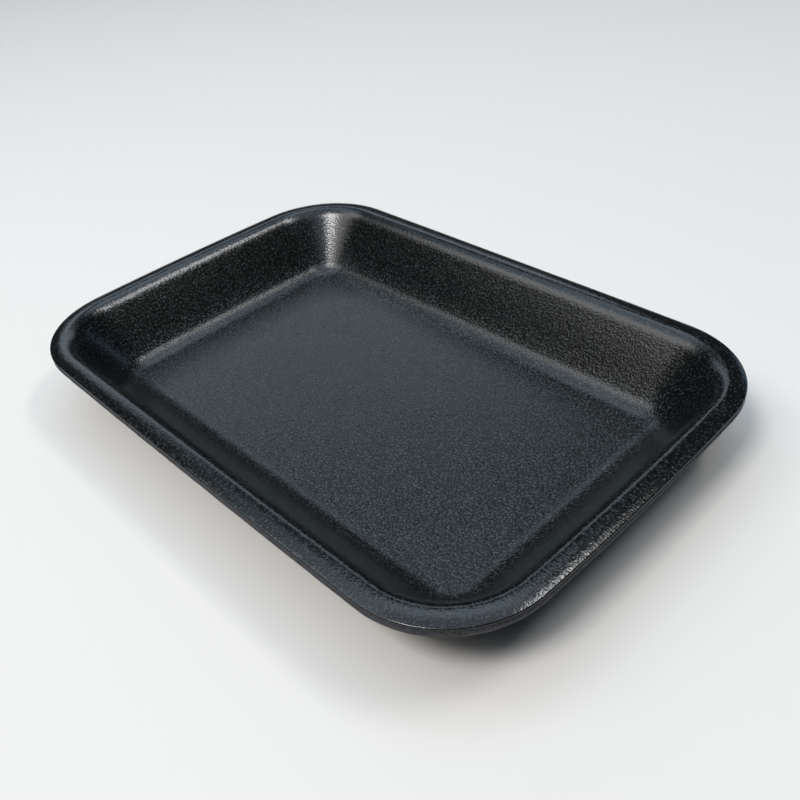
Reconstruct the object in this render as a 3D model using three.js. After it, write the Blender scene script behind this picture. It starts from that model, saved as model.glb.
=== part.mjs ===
// Foam meat tray: one sheet of extruded polystyrene foam, thermoformed into a shallow dish and trimmed.
// Millimetres, +Z up, +X along the long side. The origin is below the middle of the tray, on the
// surface that it stands on.
//
// The tray is a loft. A section is drawn once, as inward distance from the trimmed edge and height,
// and each point of it is carried round the tray on a plan outline of its own. The outline's corner
// radius shrinks from the rim to the floor, which makes the inside corners conical.
import * as THREE from 'three';

// Plan, over the trimmed edge at the middle of each side
const RIM_LENGTH = 209.6;
const RIM_WIDTH = 144.6;
const RIM_CORNER_RADIUS = 32;
const FLOOR_CORNER_RADIUS = 4;
// How far the middle of a side stands out past the ends of its arc
const LONG_SIDE_BOW = 0.3;
const SHORT_SIDE_BOW = 0.65;
const FLOOR_SIDE_BOW = 0.1;

// Section
const INNER_DEPTH = 21.2; // floor to the crest of the flange
const FOAM_THICKNESS = 4;
const WALL_ANGLE = 51; // degrees from the floor
const FLOOR_FILLET_RADIUS = 9;
const ROLL_RADIUS = 4.5; // from the flange's crest down into the wall
const UNDER_ROLL_RADIUS = 2.5;
const FLANGE_WIDTH = 5; // trimmed edge to crest
const FLANGE_DROP = 0.95; // crest to the top of the trimmed edge

// Trimmed edge: the die shears the top skin clean, and the core stands a little back under it
const EDGE_THICKNESS = 3.2;
const EDGE_ROUNDING = 0.4;
const PINCH_INSET = 0.5; // the waist of the cut face, and its foot
const PINCH_BELOW_TOP = 1.1;
const BULGE_INSET = 0.15; // the core, where it swells back out
const BULGE_BELOW_TOP = 2.1;

// Steps in each curve
const CORNER_STEPS = 12;
const HALF_SIDE_STEPS = 2;
const FILLET_STEPS = 5;
const ROLL_STEPS = 5;
const FLANGE_STEPS = 3;
const UNDER_ROLL_STEPS = 3;
const UNDER_FILLET_STEPS = 4;
const EDGE_STEPS = 5;
const ROUNDING_STEPS = 2;

const WALL = THREE.MathUtils.degToRad(WALL_ANGLE);
const QUARTER_TURN = Math.PI / 2;
const CREST_HEIGHT = FOAM_THICKNESS + INNER_DEPTH;
const EDGE_HEIGHT = CREST_HEIGHT - FLANGE_DROP;

const point = (inward, height) => new THREE.Vector2(inward, height);

function arcPoints(centre, radius, start, end, steps) {
  return new THREE.ArcCurve(centre.x, centre.y, radius, start, end, end < start).getPoints(steps);
}

// Where the line through a at one slope meets the line through b at another
function meeting(a, angleA, b, angleB) {
  const alongA = point(Math.cos(angleA), Math.sin(angleA));
  const alongB = point(Math.cos(angleB), Math.sin(angleB));
  const reach = b.clone().sub(a).cross(alongB) / alongA.cross(alongB);
  return a.clone().addScaledVector(alongA, reach);
}

// The arc of a given radius that touches both straight runs of a corner
function roundedCorner(before, corner, after, radius, steps) {
  const back = before.clone().sub(corner).normalize();
  const ahead = after.clone().sub(corner).normalize();
  const halfOpening = Math.acos(back.dot(ahead)) / 2;
  const middle = back.clone().add(ahead).normalize();
  const centre = corner.clone().addScaledVector(middle, radius / Math.sin(halfOpening));
  const tangent = radius / Math.tan(halfOpening);
  const first = corner.clone().addScaledVector(back, tangent).sub(centre);
  const last = corner.clone().addScaledVector(ahead, tangent).sub(centre);
  const turn = Math.atan2(first.cross(last), first.dot(last));
  return arcPoints(centre, radius, first.angle(), first.angle() + turn, steps);
}

// Flange and roll, from the wall's top outwards to the trimmed edge: a tight arc, then a shallow one,
// level with each other at the crest
function flangeTop() {
  const rollCentre = point(FLANGE_WIDTH, CREST_HEIGHT - ROLL_RADIUS);
  const roll = arcPoints(rollCentre, ROLL_RADIUS, QUARTER_TURN - WALL, QUARTER_TURN, ROLL_STEPS);
  const radius = (FLANGE_WIDTH ** 2 + FLANGE_DROP ** 2) / (2 * FLANGE_DROP);
  const flangeCentre = point(FLANGE_WIDTH, CREST_HEIGHT - radius);
  const edgeAngle = QUARTER_TURN + Math.asin(FLANGE_WIDTH / radius);
  const flange = arcPoints(flangeCentre, radius, QUARTER_TURN, edgeAngle, FLANGE_STEPS);
  return [...roll, ...flange.slice(1, -1)];
}

// Cut face, from its rounded top skin down to the lower skin
function trimmedEdge(flangePoint) {
  const top = point(0, EDGE_HEIGHT);
  const pinch = point(PINCH_INSET, EDGE_HEIGHT - PINCH_BELOW_TOP);
  const bulge = point(BULGE_INSET, EDGE_HEIGHT - BULGE_BELOW_TOP);
  const foot = point(PINCH_INSET, EDGE_HEIGHT - EDGE_THICKNESS);
  const rounding = roundedCorner(flangePoint, top, pinch, EDGE_ROUNDING, ROUNDING_STEPS);
  const face = new THREE.SplineCurve([rounding.at(-1), pinch, bulge, foot]).getPoints(EDGE_STEPS);
  return [...rounding, ...face.slice(1)];
}

// The section, from the floor's edge up the inside, over the rim and down the underside
function section() {
  const inside = flangeTop();
  const wallTop = inside[0];
  const insideFoot = meeting(wallTop, -WALL, point(0, FOAM_THICKNESS), 0);
  const middle = point(RIM_WIDTH / 2, FOAM_THICKNESS);
  const fillet = roundedCorner(middle, insideFoot, wallTop, FLOOR_FILLET_RADIUS, FILLET_STEPS);
  const edge = trimmedEdge(inside.at(-1));

  // The underside runs parallel to the inside of the wall, one thickness below it
  const outward = point(-Math.sin(WALL), -Math.cos(WALL)).multiplyScalar(FOAM_THICKNESS);
  const underWall = wallTop.clone().add(outward);
  const flangeSlope = Math.atan2(FLANGE_DROP, FLANGE_WIDTH);
  const armpit = meeting(edge.at(-1), flangeSlope, underWall, -WALL);
  const foot = meeting(underWall, -WALL, point(0, 0), 0);
  const underRoll = roundedCorner(edge.at(-1), armpit, foot, UNDER_ROLL_RADIUS, UNDER_ROLL_STEPS);
  const outerRadius = FLOOR_FILLET_RADIUS + FOAM_THICKNESS;
  const middleBelow = point(RIM_WIDTH / 2, 0);
  const underFillet = roundedCorner(armpit, foot, middleBelow, outerRadius, UNDER_FILLET_STEPS);
  const levels = [...fillet, ...inside, ...edge, ...underRoll, ...underFillet];

  // The rounded skin stops short of its corner, so the section moves out to the full size of the rim
  const outermost = Math.min(...levels.map((level) => level.x));
  return levels.map((level) => point(level.x - outermost, level.y));
}

// Centre of the corner arc, which touches the long side's arc and the short side's arc from inside
function cornerCentre(longCentre, longReach, shortCentre, shortReach) {
  const apart = shortCentre.clone().sub(longCentre);
  const distance = apart.length();
  const along = (longReach ** 2 - shortReach ** 2 + distance ** 2) / (2 * distance);
  const across = Math.sqrt(longReach ** 2 - along ** 2);
  const direction = apart.divideScalar(distance);
  const normal = point(direction.y, -direction.x);
  return longCentre.clone().addScaledVector(direction, along).addScaledVector(normal, across);
}

// Plan outline at an inward distance from the trimmed edge: four long shallow arcs joined by four
// corner arcs, counter-clockwise from the middle of the +X side
function outline(inward, floorInward) {
  const share = inward / floorInward;
  const radius = THREE.MathUtils.lerp(RIM_CORNER_RADIUS, FLOOR_CORNER_RADIUS, share);
  const longBow = THREE.MathUtils.lerp(LONG_SIDE_BOW, FLOOR_SIDE_BOW, share);
  const shortBow = THREE.MathUtils.lerp(SHORT_SIDE_BOW, FLOOR_SIDE_BOW, share);
  const halfLength = RIM_LENGTH / 2 - inward;
  const halfWidth = RIM_WIDTH / 2 - inward;
  const longRadius = ((halfLength - radius) ** 2 + longBow ** 2) / (2 * longBow);
  const shortRadius = ((halfWidth - radius) ** 2 + shortBow ** 2) / (2 * shortBow);
  const longCentre = point(0, halfWidth - longRadius);
  const shortCentre = point(halfLength - shortRadius, 0);
  const corner = cornerCentre(longCentre, longRadius - radius, shortCentre, shortRadius - radius);
  const shortEnd = corner.clone().sub(shortCentre).angle();
  const longEnd = corner.clone().sub(longCentre).angle();

  const quarter = [
    ...arcPoints(shortCentre, shortRadius, 0, shortEnd, HALF_SIDE_STEPS),
    ...arcPoints(corner, radius, shortEnd, longEnd, CORNER_STEPS).slice(1),
    ...arcPoints(longCentre, longRadius, longEnd, QUARTER_TURN, HALF_SIDE_STEPS).slice(1),
  ];
  const half = [...quarter, ...quarter.slice(0, -1).reverse().map((p) => point(-p.x, p.y))];
  return [...half, ...half.slice(1, -1).reverse().map((p) => point(p.x, -p.y))];
}

// Skin between neighbouring outlines, with a flat cap over the floor and another under it
function loft(levels) {
  const floorInward = levels[0].x;
  const rings = levels.map((level) => outline(level.x, floorInward));
  const count = rings[0].length;
  const positions = rings.flatMap((ring, i) => ring.flatMap((p) => [p.x, p.y, levels[i].y]));
  const lastRing = rings.length - 1;
  const floorMiddle = rings.length * count;
  const baseMiddle = floorMiddle + 1;
  positions.push(0, 0, levels[0].y, 0, 0, levels[lastRing].y);

  const index = [];
  for (let j = 0; j < count; j += 1) {
    const next = (j + 1) % count;
    index.push(floorMiddle, j, next);
    index.push(baseMiddle, lastRing * count + next, lastRing * count + j);
    for (let i = 0; i < lastRing; i += 1) {
      const inner = i * count;
      const outer = inner + count;
      index.push(inner + j, outer + j, outer + next);
      index.push(inner + j, outer + next, inner + next);
    }
  }
  const geometry = new THREE.BufferGeometry();
  geometry.setAttribute('position', new THREE.Float32BufferAttribute(positions, 3));
  geometry.setIndex(index);
  geometry.computeVertexNormals();
  return geometry;
}

// Black foam skin: a satin closed surface over fine cells
const foamSkin = new THREE.MeshStandardMaterial({ color: 0x1f2326, roughness: 0.45, metalness: 0 });

const tray = new THREE.Mesh(loft(section()), foamSkin);
tray.name = 'foam_tray';

const group = new THREE.Group();
group.add(tray);
export default group;
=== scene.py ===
import math

import bpy
import numpy as np
from bpy.props import (
    FloatProperty,
    FloatVectorProperty,
    IntProperty,
    PointerProperty,
)
from mathutils import Matrix, Vector


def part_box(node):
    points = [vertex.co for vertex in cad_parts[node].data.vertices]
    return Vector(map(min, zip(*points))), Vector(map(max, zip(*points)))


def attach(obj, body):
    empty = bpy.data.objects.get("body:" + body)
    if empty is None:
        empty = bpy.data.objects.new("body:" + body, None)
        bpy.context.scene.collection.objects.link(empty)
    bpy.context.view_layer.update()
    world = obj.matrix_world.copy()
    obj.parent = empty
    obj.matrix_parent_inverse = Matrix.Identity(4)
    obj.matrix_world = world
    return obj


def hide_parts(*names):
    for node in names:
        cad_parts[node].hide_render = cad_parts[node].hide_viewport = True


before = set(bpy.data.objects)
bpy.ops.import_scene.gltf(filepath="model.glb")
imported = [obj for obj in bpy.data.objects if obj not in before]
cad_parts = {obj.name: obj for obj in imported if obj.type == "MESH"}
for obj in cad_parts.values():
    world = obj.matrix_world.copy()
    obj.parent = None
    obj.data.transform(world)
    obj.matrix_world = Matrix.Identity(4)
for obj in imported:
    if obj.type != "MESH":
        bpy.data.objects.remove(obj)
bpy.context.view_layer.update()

bl_info = {
    "name": "Foam Tray",
    "version": (1, 0, 0),
    "blender": (4, 5, 0),
    "location": "View3D > Sidebar > Foam Tray",
    "description": "Makes a thermoformed foam tray and a plain studio round it",
    "category": "Add Mesh",
}

NODE = "foam_tray"
MM = 0.001

# The overall sizes come from the frame, so the tray fills the box that its solid has
LOW, HIGH = (np.array(corner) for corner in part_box(NODE))
RIM_LENGTH, RIM_WIDTH, HEIGHT = (float(side) for side in HIGH - LOW)

# Steps round a quarter of the tray: half a short side, a corner, half a long side
SHORT_STEPS = 30
CORNER_STEPS = 36
LONG_STEPS = 54
QUARTER = SHORT_STEPS + CORNER_STEPS + LONG_STEPS
AROUND = 4 * QUARTER

# Steps along each stretch of the section
FILLET_STEPS = 14
WALL_STEPS = 24
ROLL_STEPS = 14
FLANGE_STEPS = 10
ROUNDING_STEPS = 5
CUT_STEPS = 16
UNDER_FLANGE_STEPS = 6
UNDER_ROLL_STEPS = 6
UNDER_WALL_STEPS = 20
UNDER_FILLET_STEPS = 14
FLOOR_BANDS = 6
BOARD_STEPS = 128

# Cut face: how far down it the skin's edge, the waist, the swollen core and the foot lie, as shares of
# its height, and how far each is set in
CUT_SHARES = np.array([0, 1.1, 2.1, 3.2]) / 3.2
CUT_INSETS = np.array([0, 0.5, 0.15, 0.5]) * MM

# Uneven forming: how many crests go round the tray in the flange's sag and in the torn core, and the
# length and number of the floor's ripples, with the width over which they fade
SAG_CRESTS = [2, 3, 5, 7]
RAG_CRESTS = [31, 47, 73, 109, 151]
RIPPLE_LENGTH = 45 * MM
RIPPLE_COUNT = 9
RIPPLE_FADE = 20 * MM

# How far the floor's plain grid stays inside its rounded edge, the step that finds a ring's inward
# direction, and how near the floor's height a point counts as on the floor
GRID_INSET = 14 * MM
NUDGE = 0.1 * MM
LEVEL_TOLERANCE = 0.001 * MM

# Skin: the heights between which the sheet goes from pressed floor to stretched wall, the noise between
# which a grain is painted paler as a painted glint, and how much a cell dents the skin beside the grains
STRETCH_START = 6 * MM
STRETCH_END = 12 * MM
GLINT_SHOWS = 0.53
GLINT_PALEST = 0.7
CELL_DENT = -0.2

# Cut core: the length of a tear, the share of a cell that its wall takes, how high the walls stand beside
# the tears, and how deep the pits are
TEAR_LENGTH = 1.6 * MM
CELL_WALL = 0.25
WALL_RISE = 0.6
PIT_DEPTH = 0.12 * MM

# Board: clumps of paper fibre and their height
FIBRE_CLUMP = 0.6 * MM
FIBRE_HEIGHT = 0.004 * MM

# The camera stands about 0.3 m from the tray
CLIP_START = 0.01

# Softboxes: azimuth and elevation of where each hangs, in degrees, its distance, width and height in
# metres, its colour and its power in watts. Azimuth 0 is towards -Y and 90 towards +X. The strip draws
# the line along the left roll and the corner box lights the far corner. The window lights the far-right
# wall, and the cool boxes behind the tray give the floor and the near flange their sheen.
SOFTBOXES = {
    "window": (-30, 49, 1.5, 1.4, 0.45, "#ffffff", 8),
    "overhead": (0, 88, 1.3, 1.5, 1.5, "#dfedff", 11),
    "strip": (142, 60, 1.4, 0.5, 0.14, "#ffffff", 5),
    "corner_box": (6, 58, 1.5, 0.4, 0.35, "#ffffff", 15),
    "rear_left": (236, 32, 1.6, 1.4, 0.4, "#def1ff", 3.6),
    "rear_high": (216, 66, 1.4, 0.7, 0.5, "#d0edff", 2),
    "rear_low": (160, 14, 1.7, 1.6, 0.5, "#b5ddff", 3.5),
    "left_high": (280, 58, 1.5, 0.8, 0.5, "#d0edff", 1.9),
}


def linear(hex_colour):
    """Linear RGB and an alpha of 1 for an sRGB hex colour, each channel through the sRGB curve."""
    srgb = np.array([int(hex_colour[i : i + 2], 16) for i in (1, 3, 5)]) / 255
    rgb = np.where(srgb <= 0.04045, srgb / 12.92, ((srgb + 0.055) / 1.055) ** 2.4)
    return (*(float(channel) for channel in rgb), 1.0)


def length(name, description, default):
    """A length property, in metres."""
    return FloatProperty(
        name=name, description=description, default=default, min=0, unit="LENGTH", precision=5
    )


def fraction(name, description, default):
    """A property from 0 to 1."""
    return FloatProperty(name=name, description=description, default=default, min=0, max=1)


def angle(name, description, default):
    """An angle property whose default is given in degrees."""
    return FloatProperty(
        name=name, description=description, default=math.radians(default), unit="ROTATION"
    )


def colour(name, description, default):
    """A colour property whose default is an sRGB hex colour."""
    return FloatVectorProperty(
        name=name,
        description=description,
        default=linear(default),
        size=4,
        subtype="COLOR",
        min=0,
        max=1,
    )


class FoamTrayShape(bpy.types.PropertyGroup):
    """Sizes of the tray over its rim, of its section, and of its unevenness."""

    length: length("Length", "Over the trimmed edge", RIM_LENGTH)
    width: length("Width", "Over the trimmed edge", RIM_WIDTH)
    height: length("Height", "From the surface it stands on to the crest of the flange", HEIGHT)
    rim_corner: length("Rim corner", "Corner radius of the trimmed edge", 32 * MM)
    floor_corner: length("Floor corner", "Corner radius of the flat floor", 4 * MM)
    long_bow: length("Long side bow", "How far a long side stands out in its middle", 0.3 * MM)
    short_bow: length("Short side bow", "How far a short side stands out in its middle", 0.65 * MM)
    floor_bow: length("Floor bow", "The same at the edge of the floor", 0.1 * MM)
    foam: length("Foam thickness", "Thickness of the formed sheet", 4 * MM)
    wall_angle: angle("Wall angle", "Slope of the wall from the floor", 51)
    fillet: length("Floor fillet", "Radius between floor and wall", 9 * MM)
    roll: length("Roll", "Radius from the flange's crest down into the wall", 4.5 * MM)
    roll_ease: length("Roll ease", "How far down the wall the roll starts to leave it", 4.2 * MM)
    under_roll: length("Under roll", "Radius between the flange's underside and the wall", 2.5 * MM)
    flange_width: length("Flange width", "Trimmed edge to crest", 5 * MM)
    flange_drop: length("Flange drop", "Crest to the top of the trimmed edge", 0.95 * MM)
    edge: length("Edge thickness", "Height of the cut face", 3.2 * MM)
    edge_rounding: length("Edge rounding", "Radius of the top skin where the die cuts it", 0.4 * MM)
    rim_sag: length("Rim sag", "How far the flange dips between its high places", 0.22 * MM)
    floor_ripple: length("Floor ripple", "How uneven the formed floor is", 0.05 * MM)
    edge_rag: length("Edge rag", "How unevenly the die tears the core", 0.1 * MM)
    seed: IntProperty(name="Seed", description="Another seed gives another uneven tray", default=7)


class FoamTrayFinish(bpy.types.PropertyGroup):
    """Colours and grain of the foam."""

    skin: colour("Skin", "Black pigment in the closed skin", "#070808")
    # The pale skin colour is a painted glint, painted on the tallest grains of the skin
    painted_glint: colour("Skin over cells", "The skin where a cell lies close under it", "#35393b")
    core: colour("Cut core", "Cell walls that the die has opened", "#17181a")
    core_pale: colour("Cut core edges", "Edges of the opened cells", "#34343a")
    cell: length("Cell size", "Width of a foam cell under the skin", 1.2 * MM)
    grain: length("Grain", "Spacing of the skin's fine relief", 0.65 * MM)
    relief: length("Relief", "Depth of the skin's fine relief", 0.13 * MM)
    rim_relief: fraction("Rim relief", "Share of the relief left on wall and roll", 0.5)
    floor_rough: fraction("Floor roughness", "Roughness of the skin low in the dish", 0.26)
    rim_rough: fraction("Rim roughness", "Roughness of the skin on wall and roll", 0.19)
    rough_grain: fraction("Roughness grain", "How far the roughness goes with the relief", 0.4)


class FoamTrayStudio(bpy.types.PropertyGroup):
    """Floor, surroundings and camera."""

    board: colour("Board", "Pale matt board that the tray stands on", "#c5c1bc")
    board_reach: length("Board reach", "Radius of the round board", 1.4)
    surroundings: colour("Surroundings", "Pale room round the studio", "#ffffff")
    room_light: fraction("Room light", "Light that the room gives", 0.02)
    backdrop: fraction("Backdrop", "How pale the room looks", 0.7)
    lens: FloatProperty(
        name="Lens", description="Focal length", default=38.137, min=1, unit="CAMERA"
    )
    camera_azimuth: angle("Camera azimuth", "0 looks along +Y", 49.333)
    camera_elevation: angle("Camera elevation", "Above the horizon", 37.66)
    camera_roll: angle("Camera roll", "Turn about the line of sight", -6.316)
    camera_place: FloatVectorProperty(
        name="Camera place",
        description="Where the camera stands",
        default=(0.17763, -0.14149, 0.176468),
        unit="LENGTH",
        precision=5,
    )


def arc(centre, radius, start, end, steps):
    """Points on an arc: centre + radius (cos a, sin a), with a going evenly from start to end."""
    angles = np.linspace(start, end, steps + 1)
    return centre + radius * np.column_stack([np.cos(angles), np.sin(angles)])


def straight(start, end, steps):
    """Points on a line: start + (end - start) t, with t going evenly from 0 to 1."""
    return start + (end - start) * np.linspace(0, 1, steps + 1)[:, None]


def cross(a, b):
    """The flat cross product, ax by - ay bx."""
    return a[..., 0] * b[..., 1] - a[..., 1] * b[..., 0]


def meeting(a, angle_a, b, angle_b):
    """Where the line through a at one slope meets the line through b at another."""
    along_a = np.array([math.cos(angle_a), math.sin(angle_a)])
    along_b = np.array([math.cos(angle_b), math.sin(angle_b)])
    return a + along_a * cross(b - a, along_b) / cross(along_a, along_b)


def rounded_corner(before, corner, after, radius, steps):
    """The arc that touches both runs of a corner. Its centre lies on the line that halves the corner,
    radius / sin(half the opening) away, and it touches each run radius / tan(half the opening) away."""
    back = (before - corner) / np.linalg.norm(before - corner)
    ahead = (after - corner) / np.linalg.norm(after - corner)
    half = math.acos(float(back @ ahead)) / 2
    middle = (back + ahead) / np.linalg.norm(back + ahead)
    centre = corner + middle * radius / math.sin(half)
    first = corner + back * radius / math.tan(half) - centre
    last = corner + ahead * radius / math.tan(half) - centre
    start = math.atan2(first[1], first[0])
    sweep = math.atan2(cross(first, last), float(first @ last))
    return arc(centre, radius, start, start + sweep, steps)


def flange_top(shape):
    """Roll and flange: a curve up from the wall to the crest, then a shallow arc out to the trimmed edge.
    Both are level at the crest, so the shallow radius is (width^2 + drop^2) / (2 drop). The roll lies
    close to a tight arc, but leaves the wall slowly: with a, the point on the wall, c, the corner of
    wall and crest, and b, the crest, it is (1 - t)^2 a + 2 t (1 - t) c + t^2 b."""
    quarter = math.pi / 2
    crest = np.array([shape.flange_width, shape.height])
    reach = shape.roll * math.tan(shape.wall_angle / 2)
    corner = crest + np.array([reach, 0])
    down = np.array([math.cos(shape.wall_angle), -math.sin(shape.wall_angle)])
    wall_end = corner + down * shape.roll_ease
    t = np.linspace(0, 1, ROLL_STEPS + 1)[:, None]
    roll = (1 - t) ** 2 * wall_end + 2 * t * (1 - t) * corner + t**2 * crest
    radius = (shape.flange_width**2 + shape.flange_drop**2) / (2 * shape.flange_drop)
    centre = np.array([shape.flange_width, shape.height - radius])
    end = quarter + math.asin(shape.flange_width / radius)
    return roll, arc(centre, radius, quarter, end, FLANGE_STEPS)[1:-1]


def cut_face(shape, top):
    """Cut face below the rounded skin: the inset from the edge eases by half a cosine wave between the
    skin, the waist under it, the core that swells back out, and the foot."""
    depth = CUT_SHARES * shape.edge
    start = shape.height - shape.flange_drop - top[1]
    down = np.linspace(start, shape.edge, CUT_STEPS + 1)
    stretch = np.clip(np.searchsorted(depth, down, side="right") - 1, 0, len(depth) - 2)
    share = (down - depth[stretch]) / (depth[stretch + 1] - depth[stretch])
    eased = (1 - np.cos(np.pi * share)) / 2
    inward = CUT_INSETS[stretch] + (CUT_INSETS[stretch + 1] - CUT_INSETS[stretch]) * eased
    inward += (top[0] - inward[0]) * (1 - (down - start) / (shape.edge - start))
    return np.column_stack([inward, shape.height - shape.flange_drop - down])


def section(shape):
    """The section as rows of (inward, height), up the inside, over the rim and down the underside, and
    a mask that is 1 on the cut face. The underside runs one thickness from the inside of the wall."""
    wall = shape.wall_angle
    roll, flange = flange_top(shape)
    floor_middle = np.array([shape.width / 2, shape.foam])
    foot = meeting(roll[0], -wall, np.array([0, shape.foam]), 0)
    fillet = rounded_corner(floor_middle, foot, roll[0], shape.fillet, FILLET_STEPS)
    inner_wall = straight(fillet[-1], roll[0], WALL_STEPS)[1:-1]

    edge_top = np.array([0, shape.height - shape.flange_drop])
    waist = edge_top + np.array([CUT_INSETS[1], -CUT_SHARES[1] * shape.edge])
    rounding = rounded_corner(flange[-1], edge_top, waist, shape.edge_rounding, ROUNDING_STEPS)
    face = cut_face(shape, rounding[-1])[1:]

    under_wall = roll[0] - np.array([math.sin(wall), math.cos(wall)]) * shape.foam
    slope = math.atan2(shape.flange_drop, shape.flange_width)
    armpit = meeting(face[-1], slope, under_wall, -wall)
    under_foot = meeting(under_wall, -wall, np.zeros(2), 0)
    under_roll = rounded_corner(face[-1], armpit, under_foot, shape.under_roll, UNDER_ROLL_STEPS)
    under_flange = straight(face[-1], under_roll[0], UNDER_FLANGE_STEPS)[1:-1]
    base_middle = np.array([shape.width / 2, 0])
    under_fillet = rounded_corner(
        armpit, under_foot, base_middle, shape.fillet + shape.foam, UNDER_FILLET_STEPS
    )
    outer_wall = straight(under_roll[-1], under_fillet[0], UNDER_WALL_STEPS)[1:-1]

    inside = [fillet, inner_wall, roll, flange, rounding]
    outside = [under_flange, under_roll, outer_wall, under_fillet]
    levels = np.concatenate([*inside, face, *outside])
    cut = np.zeros(len(levels))
    first = sum(len(stretch) for stretch in inside)
    cut[first : first + len(face)] = 1
    levels[:, 0] -= levels[:, 0].min()
    return levels, cut


def outline(shape, inward, floor_inward):
    """Plan rings at distances inward from the trimmed edge, as (rings, points, 2): four shallow side
    arcs joined by four corner arcs that touch them, counter-clockwise from the middle of the +X side.
    The corner radius and the bows go evenly from their values at the rim to those at the floor. A side
    arc of bow b over half a chord c has the radius (c^2 + b^2) / (2 b)."""
    inward = np.asarray(inward, float)[:, None]
    share = inward / floor_inward
    radius = shape.rim_corner + (shape.floor_corner - shape.rim_corner) * share
    long_bow = shape.long_bow + (shape.floor_bow - shape.long_bow) * share
    short_bow = shape.short_bow + (shape.floor_bow - shape.short_bow) * share
    half_length = shape.length / 2 - inward
    half_width = shape.width / 2 - inward
    long_radius = ((half_length - radius) ** 2 + long_bow**2) / (2 * long_bow)
    short_radius = ((half_width - radius) ** 2 + short_bow**2) / (2 * short_bow)
    long_y = half_width - long_radius
    short_x = half_length - short_radius

    # The corner's centre is where circles about the two side centres cross
    apart = np.hypot(short_x, long_y)
    long_reach = long_radius - radius
    short_reach = short_radius - radius
    along = (long_reach**2 - short_reach**2 + apart**2) / (2 * apart)
    across = np.sqrt(long_reach**2 - along**2)
    unit_x = short_x / apart
    unit_y = -long_y / apart
    corner_x = unit_x * along + unit_y * across
    corner_y = long_y + unit_y * along - unit_x * across
    short_end = np.arctan2(corner_y, corner_x - short_x)
    long_end = np.arctan2(corner_y - long_y, corner_x)

    short = short_end * np.linspace(0, 1, SHORT_STEPS + 1)
    corner = short_end + (long_end - short_end) * np.linspace(0, 1, CORNER_STEPS + 1)[1:]
    side = long_end + (math.pi / 2 - long_end) * np.linspace(0, 1, LONG_STEPS + 1)[1:]
    x = np.hstack(
        [
            short_x + short_radius * np.cos(short),
            corner_x + radius * np.cos(corner),
            long_radius * np.cos(side),
        ]
    )
    y = np.hstack(
        [
            short_radius * np.sin(short),
            corner_y + radius * np.sin(corner),
            long_y + long_radius * np.sin(side),
        ]
    )
    half_x = np.hstack([x, -x[:, -2::-1]])
    half_y = np.hstack([y, y[:, -2::-1]])
    full_x = np.hstack([half_x, half_x[:, -2:0:-1]])
    full_y = np.hstack([half_y, -half_y[:, -2:0:-1]])
    return np.stack([full_x, full_y], axis=-1)


def waves(random, counts, around):
    """A wave that closes round the tray, from 0 to 1: cosines with whole numbers of crests, each with a
    random start and a height that falls with its count."""
    starts = random.uniform(0, 2 * math.pi, len(counts))
    heights = 1 / np.sqrt(np.asarray(counts, float))
    total = (heights[:, None] * np.cos(np.outer(counts, around) + starts[:, None])).sum(0)
    return (total - total.min()) / (total.max() - total.min())


def ripples(random, x, y, wavelength, number):
    """Crossing ripples from 0 to 1: cosines of about one wavelength in random directions."""
    directions = random.uniform(0, 2 * math.pi, number)
    starts = random.uniform(0, 2 * math.pi, number)
    pace = 2 * math.pi / (wavelength * random.uniform(0.6, 1.6, number))
    total = np.zeros_like(x)
    for direction, start, step in zip(directions, starts, pace):
        total += np.cos((x * math.cos(direction) + y * math.sin(direction)) * step + start)
    return total / (2 * number) + 0.5


def floor_square(ring):
    """Square-cornered ring inside a floor ring: the plain grid's edge, counter-clockwise from the middle
    of the +X side, with as many points from corner to corner as the ring has between corner middles."""
    far = ring.max(0) - GRID_INSET
    up = 2 * SHORT_STEPS + CORNER_STEPS
    along = 2 * LONG_STEPS + CORNER_STEPS
    right = np.column_stack([np.full(up, far[0]), np.linspace(-far[1], far[1], up + 1)[:-1]])
    top = np.column_stack([np.linspace(far[0], -far[0], along + 1)[:-1], np.full(along, far[1])])
    ring_from_corner = np.concatenate([right, top, -right, -top])
    return np.roll(ring_from_corner, -up // 2, axis=0)


def cap(first, ring_start):
    """Index grid of a floor: rows go from -Y to +Y and columns from -X to +X. Its border is the square
    ring that starts at ring_start, and the points inside it are numbered from first."""
    rows = 2 * SHORT_STEPS + CORNER_STEPS + 1
    columns = 2 * LONG_STEPS + CORNER_STEPS + 1
    corner = (rows - 1) // 2
    grid = np.zeros((rows, columns), int)
    grid[1:-1, 1:-1] = first + np.arange((rows - 2) * (columns - 2)).reshape(rows - 2, -1)
    grid[0] = AROUND // 2 + corner + np.arange(columns)
    grid[-1] = AROUND // 2 - corner - np.arange(columns)
    grid[:, -1] = (np.arange(rows) - corner) % AROUND
    grid[:, 0] = AROUND // 2 + corner - np.arange(rows)
    grid[0] += ring_start
    grid[-1] += ring_start
    grid[1:-1, -1] += ring_start
    grid[1:-1, 0] += ring_start
    return grid


def quads(grid):
    """Faces of an index grid, which turn from the rows' direction to the columns'."""
    return np.stack([grid[:-1, :-1], grid[1:, :-1], grid[1:, 1:], grid[:-1, 1:]], axis=-1).reshape(-1, 4)


def uneven_rings(shape, levels, cut, random):
    """Rings carried along the section and their heights, both as uneven as forming and trimming leave
    them. The flange dips by its sag times (height / full height)^3. The cut core tears in and out along
    the inward direction, which is the way to the same ring a nudge further in."""
    floor_inward = levels[0, 0]
    rings = outline(shape, levels[:, 0], floor_inward)
    into = (outline(shape, levels[:, 0] + NUDGE, floor_inward) - rings) / NUDGE
    heights = np.repeat(levels[:, 1, None], AROUND, axis=1)
    around = np.linspace(0, 2 * math.pi, AROUND, endpoint=False)
    sag = shape.rim_sag * waves(random, SAG_CRESTS, around)
    rag = shape.edge_rag * waves(random, RAG_CRESTS, around)
    heights = heights - sag * (heights / shape.height) ** 3
    return rings + into * (rag * cut[:, None])[..., None], heights


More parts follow.
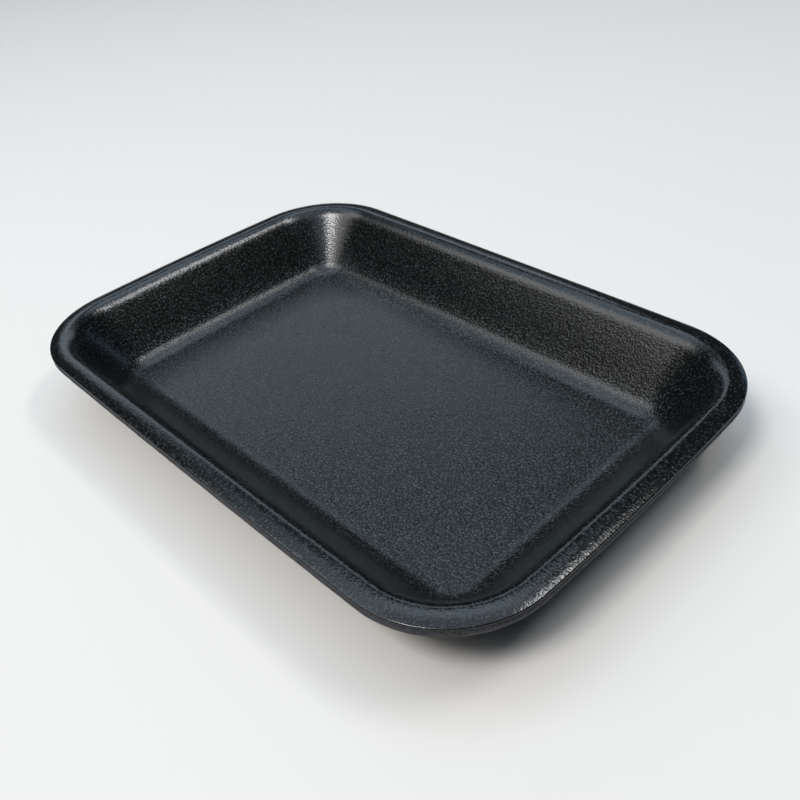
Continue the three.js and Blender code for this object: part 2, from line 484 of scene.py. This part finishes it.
def flat_points(grid, ring, height):
    """Points inside the border of a flat index grid, spaced evenly over the box of its square ring."""
    far = ring.max(0)
    x, y = np.meshgrid(
        np.linspace(-far[0], far[0], grid.shape[1])[1:-1],
        np.linspace(-far[1], far[1], grid.shape[0])[1:-1],
    )
    return np.column_stack([x.ravel(), y.ravel(), np.full(x.size, height)])


def ripple_floor(shape, points, height, ring, random):
    """Lowers the points at the floor's height by the ripples times (distance from the floor's edge /
    fade)^2, at most 1, so the floor is even where the fillet starts."""
    floor = np.abs(points[:, 2] - height) < LEVEL_TOLERANCE
    x = points[floor, 0]
    y = points[floor, 1]
    edge = np.minimum(ring[:, 0].max() - np.abs(x), ring[:, 1].max() - np.abs(y))
    fade = np.clip(edge / RIPPLE_FADE, 0, 1) ** 2
    uneven = ripples(random, x, y, RIPPLE_LENGTH, RIPPLE_COUNT)
    points[floor, 2] -= shape.floor_ripple * uneven * fade


def tray_surface(shape):
    """Points, quads and the cut face's mask of the whole tray. Rings are carried along the section, from
    the square edge of the floor's grid, over the rim and back under it, and two flat grids close it."""
    random = np.random.default_rng(shape.seed)
    levels, cut = section(shape)
    floor_height = levels[0, 1]
    rings, heights = uneven_rings(shape, levels, cut, random)

    # Bands ease the floor's rounded ring into the square edge of its grid
    share = np.linspace(0, 1, FLOOR_BANDS + 1)[1:, None, None]
    inner = rings[0] + (floor_square(rings[0]) - rings[0]) * share
    outer = rings[-1] + (floor_square(rings[-1]) - rings[-1]) * share
    plan = np.concatenate([inner[::-1], rings, outer])
    floor_bands = np.full((FLOOR_BANDS, AROUND), floor_height)
    base_bands = np.zeros((FLOOR_BANDS, AROUND))
    level = np.concatenate([floor_bands, heights, base_bands])
    bands = np.dstack([plan, level]).reshape(-1, 3)

    # The two grids share their borders with the first ring and the last
    ring_count = len(plan)
    last_ring = (ring_count - 1) * AROUND
    top = cap(len(bands), 0)
    top_points = flat_points(top, plan[0], floor_height)
    base = cap(len(bands) + len(top_points), last_ring)
    base_points = flat_points(base, plan[-1], 0)
    points = np.concatenate([bands, top_points, base_points])
    ripple_floor(shape, points, floor_height, rings[0], random)

    band_grid = np.arange(len(bands)).reshape(ring_count, AROUND)
    band_grid = np.hstack([band_grid, band_grid[:, :1]])
    faces = np.concatenate([quads(band_grid), quads(top)[:, ::-1], quads(base)])
    on_ring = np.zeros(ring_count)
    on_ring[FLOOR_BANDS : FLOOR_BANDS + len(levels)] = cut
    mask = np.concatenate([np.repeat(on_ring, AROUND), np.zeros(len(points) - len(bands))])
    return points, faces, mask


def add_node(tree, kind, settings=None, **inputs):
    """Adds one node. settings are its own attributes. Each input is a value or another node's output,
    under the socket's name with spaces as underscores, or in_0, in_1 for sockets by number."""
    node = tree.nodes.new(kind)
    for name, value in (settings or {}).items():
        setattr(node, name, value)
    for name, value in inputs.items():
        socket = node.inputs[int(name[3:]) if name.startswith("in_") else name.replace("_", " ")]
        if isinstance(value, bpy.types.NodeSocket):
            tree.links.new(value, socket)
        else:
            socket.default_value = value
    return node


def new_material(name):
    """An empty node material and its tree."""
    material = bpy.data.materials.new(name)
    material.use_nodes = True
    material.node_tree.nodes.clear()
    return material, material.node_tree


def foam_skin(finish):
    """Extruded polystyrene foam, black, thermoformed: the closed skin.

    The sheet's skin is a film over flattened cells. It gives a satin gloss broken by fine, sandy relief,
    so highlights have a fuzzy, sparkling edge. Forming stretches the sheet over the wall and polishes it
    on the mould, so the grain is weaker there, and the gloss higher, than on the floor. The real grain,
    taken to be about 0.3 mm, is one pixel of the render or less, so it and the cells are drawn twice as
    coarse or more to show. Solid polystyrene has an IOR of 1.59, but the rough film mirrors less, so it
    is 1.5 here, at a lower specular level."""
    material, tree = new_material("black_polystyrene_foam_skin_thermoformed")
    place = add_node(tree, "ShaderNodeTexCoord").outputs["Object"]
    sand = add_node(
        tree, "ShaderNodeTexNoise", Vector=place, Scale=1 / finish.grain, Detail=1.0, Roughness=0.5
    ).outputs["Fac"]
    cells = add_node(
        tree, "ShaderNodeTexVoronoi", Vector=place, Scale=1 / finish.cell
    ).outputs["Distance"]
    height = add_node(
        tree, "ShaderNodeMath", {"operation": "MULTIPLY_ADD"}, in_0=cells, in_1=CELL_DENT, in_2=sand
    ).outputs[0]
    above_board = add_node(tree, "ShaderNodeSeparateXYZ", Vector=place).outputs["Z"]
    strength = add_node(
        tree,
        "ShaderNodeMapRange",
        Value=above_board,
        From_Min=STRETCH_START,
        From_Max=STRETCH_END,
        To_Min=1.0,
        To_Max=finish.rim_relief,
    ).outputs[0]
    bump = add_node(
        tree, "ShaderNodeBump", Strength=strength, Distance=finish.relief, Height=height
    ).outputs["Normal"]

    # Painted glints: only the tallest grains are painted paler, and less so on wall and roll, where less
    # relief is kept
    glint_share = add_node(
        tree,
        "ShaderNodeMapRange",
        Value=sand,
        From_Min=GLINT_SHOWS,
        From_Max=GLINT_PALEST,
        To_Max=strength,
    ).outputs[0]
    base = add_node(
        tree,
        "ShaderNodeMix",
        {"data_type": "RGBA"},
        in_0=glint_share,
        in_6=tuple(finish.skin),
        in_7=tuple(finish.painted_glint),
    ).outputs[2]

    # The roughness swings about its even value with the grain, as far as the relief is kept
    even = add_node(
        tree,
        "ShaderNodeMapRange",
        Value=above_board,
        From_Min=STRETCH_START,
        From_Max=STRETCH_END,
        To_Min=finish.floor_rough,
        To_Max=finish.rim_rough,
    ).outputs[0]
    swing = add_node(
        tree, "ShaderNodeMath", {"operation": "MULTIPLY"}, in_0=strength, in_1=finish.rough_grain
    ).outputs[0]
    lift = add_node(
        tree, "ShaderNodeMath", {"operation": "SUBTRACT"}, in_0=sand, in_1=0.5
    ).outputs[0]
    rough = add_node(
        tree, "ShaderNodeMath", {"operation": "MULTIPLY_ADD"}, in_0=lift, in_1=swing, in_2=even
    ).outputs[0]
    shader = add_node(
        tree,
        "ShaderNodeBsdfPrincipled",
        Base_Color=base,
        Roughness=rough,
        IOR=1.5,
        Specular_IOR_Level=0.37,
        Normal=bump,
    )
    add_node(tree, "ShaderNodeOutputMaterial", Surface=shader.outputs[0])
    return material


def cut_core(finish):
    """Extruded polystyrene foam, black, die cut: the core at the trimmed edge.

    The die opens the cells, so the face is matt and pitted, and greyer than the skin. The cells are drawn
    as coarse as the skin's."""
    material, tree = new_material("black_polystyrene_foam_core_die_cut")
    place = add_node(tree, "ShaderNodeTexCoord").outputs["Object"]
    cells = add_node(
        tree,
        "ShaderNodeTexVoronoi",
        {"feature": "DISTANCE_TO_EDGE"},
        Vector=place,
        Scale=1 / finish.cell,
    ).outputs["Distance"]
    tear = add_node(
        tree, "ShaderNodeTexNoise", Vector=place, Scale=1 / TEAR_LENGTH, Detail=3.0
    ).outputs["Fac"]
    wall = add_node(
        tree, "ShaderNodeMapRange", Value=cells, From_Min=0.0, From_Max=CELL_WALL, To_Min=1.0, To_Max=0.0
    ).outputs[0]
    height = add_node(
        tree, "ShaderNodeMath", {"operation": "MULTIPLY_ADD"}, in_0=wall, in_1=WALL_RISE, in_2=tear
    ).outputs[0]
    bump = add_node(
        tree, "ShaderNodeBump", Strength=1.0, Distance=PIT_DEPTH, Height=height
    ).outputs["Normal"]
    base = add_node(
        tree,
        "ShaderNodeMix",
        {"data_type": "RGBA"},
        in_0=wall,
        in_6=tuple(finish.core),
        in_7=tuple(finish.core_pale),
    ).outputs[2]
    shader = add_node(
        tree, "ShaderNodeBsdfPrincipled", Base_Color=base, Roughness=0.7, IOR=1.5, Normal=bump
    )
    add_node(tree, "ShaderNodeOutputMaterial", Surface=shader.outputs[0])
    return material


def matt_board(studio):
    """Coated paperboard, matt, pale. It gives the eye a plain, even ground."""
    material, tree = new_material("pale_coated_paperboard_matt")
    place = add_node(tree, "ShaderNodeTexCoord").outputs["Object"]
    fibre = add_node(
        tree, "ShaderNodeTexNoise", Vector=place, Scale=1 / FIBRE_CLUMP, Detail=2.0
    ).outputs["Fac"]
    bump = add_node(
        tree, "ShaderNodeBump", Strength=1.0, Distance=FIBRE_HEIGHT, Height=fibre
    ).outputs["Normal"]
    shader = add_node(
        tree,
        "ShaderNodeBsdfPrincipled",
        Base_Color=tuple(studio.board),
        Roughness=0.9,
        Specular_IOR_Level=0.2,
        Normal=bump,
    )
    add_node(tree, "ShaderNodeOutputMaterial", Surface=shader.outputs[0])
    return material


def put_mesh(name, points, faces):
    """A smooth mesh object at the origin, with its place in its mesh."""
    mesh = bpy.data.meshes.new(name)
    mesh.from_pydata(points.astype(np.float32), [], faces)
    mesh.shade_smooth()
    mesh.update()
    piece = bpy.data.objects.new(name, mesh)
    bpy.context.scene.collection.objects.link(piece)
    return piece


def turned(azimuth, elevation, roll):
    """Rotation of a camera or lamp that looks from a direction to the middle: its Z axis points back
    along (sin a cos e, -cos a cos e, sin e), and its X and Y axes are then turned by roll about Z."""
    back = Vector(
        (
            math.sin(azimuth) * math.cos(elevation),
            -math.cos(azimuth) * math.cos(elevation),
            math.sin(elevation),
        )
    )
    right = Vector((math.cos(azimuth), math.sin(azimuth), 0))
    up = back.cross(right)
    x = right * math.cos(roll) + up * math.sin(roll)
    y = up * math.cos(roll) - right * math.sin(roll)
    return Matrix((x, y, back)).transposed()


def hang_softbox(name, azimuth, elevation, distance, width, height, hex_colour, power):
    """A rectangular area light at a distance in a direction, turned to the tray."""
    light = bpy.data.lights.new(name, "AREA")
    light.shape = "RECTANGLE"
    light.size = width
    light.size_y = height
    light.color = linear(hex_colour)[:3]
    light.energy = power
    lamp = bpy.data.objects.new(name, light)
    rotation = turned(math.radians(azimuth), math.radians(elevation), 0)
    lamp.matrix_world = Matrix.Translation(rotation.col[2] * distance) @ rotation.to_4x4()
    bpy.context.scene.collection.objects.link(lamp)


def round_board(reach):
    """A flat round board whose rim is at reach (cos a, sin a), with a going evenly round."""
    angles = np.linspace(0, 2 * math.pi, BOARD_STEPS, endpoint=False)
    rim = np.column_stack([np.cos(angles), np.sin(angles), np.zeros(BOARD_STEPS)]) * reach
    return put_mesh("board", rim, np.arange(BOARD_STEPS)[None])


def light_room(scene, studio):
    """Room and softboxes. The room looks pale behind the tray, but the softboxes do the lighting: its
    strength is the backdrop's where the camera sees it, plus the room's light everywhere."""
    world = bpy.data.worlds.new("room")
    world.use_nodes = True
    tree = world.node_tree
    background = tree.nodes["Background"]
    background.inputs["Color"].default_value = tuple(studio.surroundings)
    seen = add_node(tree, "ShaderNodeLightPath").outputs["Is Camera Ray"]
    strength = add_node(
        tree,
        "ShaderNodeMath",
        {"operation": "MULTIPLY_ADD"},
        in_0=seen,
        in_1=studio.backdrop,
        in_2=studio.room_light,
    ).outputs[0]
    tree.links.new(strength, background.inputs["Strength"])
    scene.world = world
    for name, softbox in SOFTBOXES.items():
        hang_softbox(name, *softbox)


def place_camera(scene, studio):
    """The camera in its place, turned along its line of sight."""
    camera = bpy.data.objects.new("camera", bpy.data.cameras.new("camera"))
    camera.data.lens = studio.lens
    camera.data.clip_start = CLIP_START
    rotation = turned(studio.camera_azimuth, studio.camera_elevation, studio.camera_roll)
    camera.matrix_world = Matrix.Translation(studio.camera_place) @ rotation.to_4x4()
    scene.collection.objects.link(camera)
    scene.camera = camera


class FOAM_TRAY_OT_tray(bpy.types.Operator):
    """Make the foam tray in place of its plain solid"""

    bl_idname = "foam_tray.tray"
    bl_label = "Foam Tray"

    def execute(self, context):
        shape = context.scene.foam_tray_shape
        finish = context.scene.foam_tray_finish
        points, faces, cut = tray_surface(shape)
        if not np.isfinite(points).all():
            raise ValueError("these sizes leave no room for the tray's curves")
        piece = put_mesh("tray", points, faces)
        piece.data.materials.append(foam_skin(finish))
        piece.data.materials.append(cut_core(finish))
        core = (cut[faces].min(axis=1) > 0.5).astype(np.int32)
        piece.data.polygons.foreach_set("material_index", core)
        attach(piece, "root")
        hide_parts(NODE)
        return {"FINISHED"}


class FOAM_TRAY_OT_studio(bpy.types.Operator):
    """Make the pale board, the softboxes and the camera"""

    bl_idname = "foam_tray.studio"
    bl_label = "Studio"

    def execute(self, context):
        scene = context.scene
        studio = scene.foam_tray_studio
        board = round_board(studio.board_reach)
        board.data.materials.append(matt_board(studio))
        light_room(scene, studio)
        place_camera(scene, studio)
        scene.view_settings.view_transform = "Standard"
        return {"FINISHED"}


class FOAM_TRAY_PT_panel(bpy.types.Panel):
    """Sizes and colours of the tray, with a button for each step"""

    bl_label = "Foam Tray"
    bl_space_type = "VIEW_3D"
    bl_region_type = "UI"
    bl_category = "Foam Tray"

    def draw(self, context):
        for group, operator in GROUPS.items():
            settings = getattr(context.scene, group)
            box = self.layout.box()
            for name in settings.bl_rna.properties.keys():
                if name not in ("rna_type", "name"):
                    box.prop(settings, name)
            if operator:
                box.operator(operator)


GROUPS = {
    "foam_tray_shape": None,
    "foam_tray_finish": FOAM_TRAY_OT_tray.bl_idname,
    "foam_tray_studio": FOAM_TRAY_OT_studio.bl_idname,
}
CLASSES = (
    FoamTrayShape,
    FoamTrayFinish,
    FoamTrayStudio,
    FOAM_TRAY_OT_tray,
    FOAM_TRAY_OT_studio,
    FOAM_TRAY_PT_panel,
)


def register():
    """Registers the classes and gives each scene its settings."""
    for cls in CLASSES:
        bpy.utils.register_class(cls)
    bpy.types.Scene.foam_tray_shape = PointerProperty(type=FoamTrayShape)
    bpy.types.Scene.foam_tray_finish = PointerProperty(type=FoamTrayFinish)
    bpy.types.Scene.foam_tray_studio = PointerProperty(type=FoamTrayStudio)


def unregister():
    """Takes the settings and the classes out again."""
    for group in GROUPS:
        delattr(bpy.types.Scene, group)
    for cls in reversed(CLASSES):
        bpy.utils.unregister_class(cls)


def main():
    """Makes the tray and its studio."""
    register()
    bpy.ops.foam_tray.tray()
    bpy.ops.foam_tray.studio()


if __name__ == "__main__":
    main()
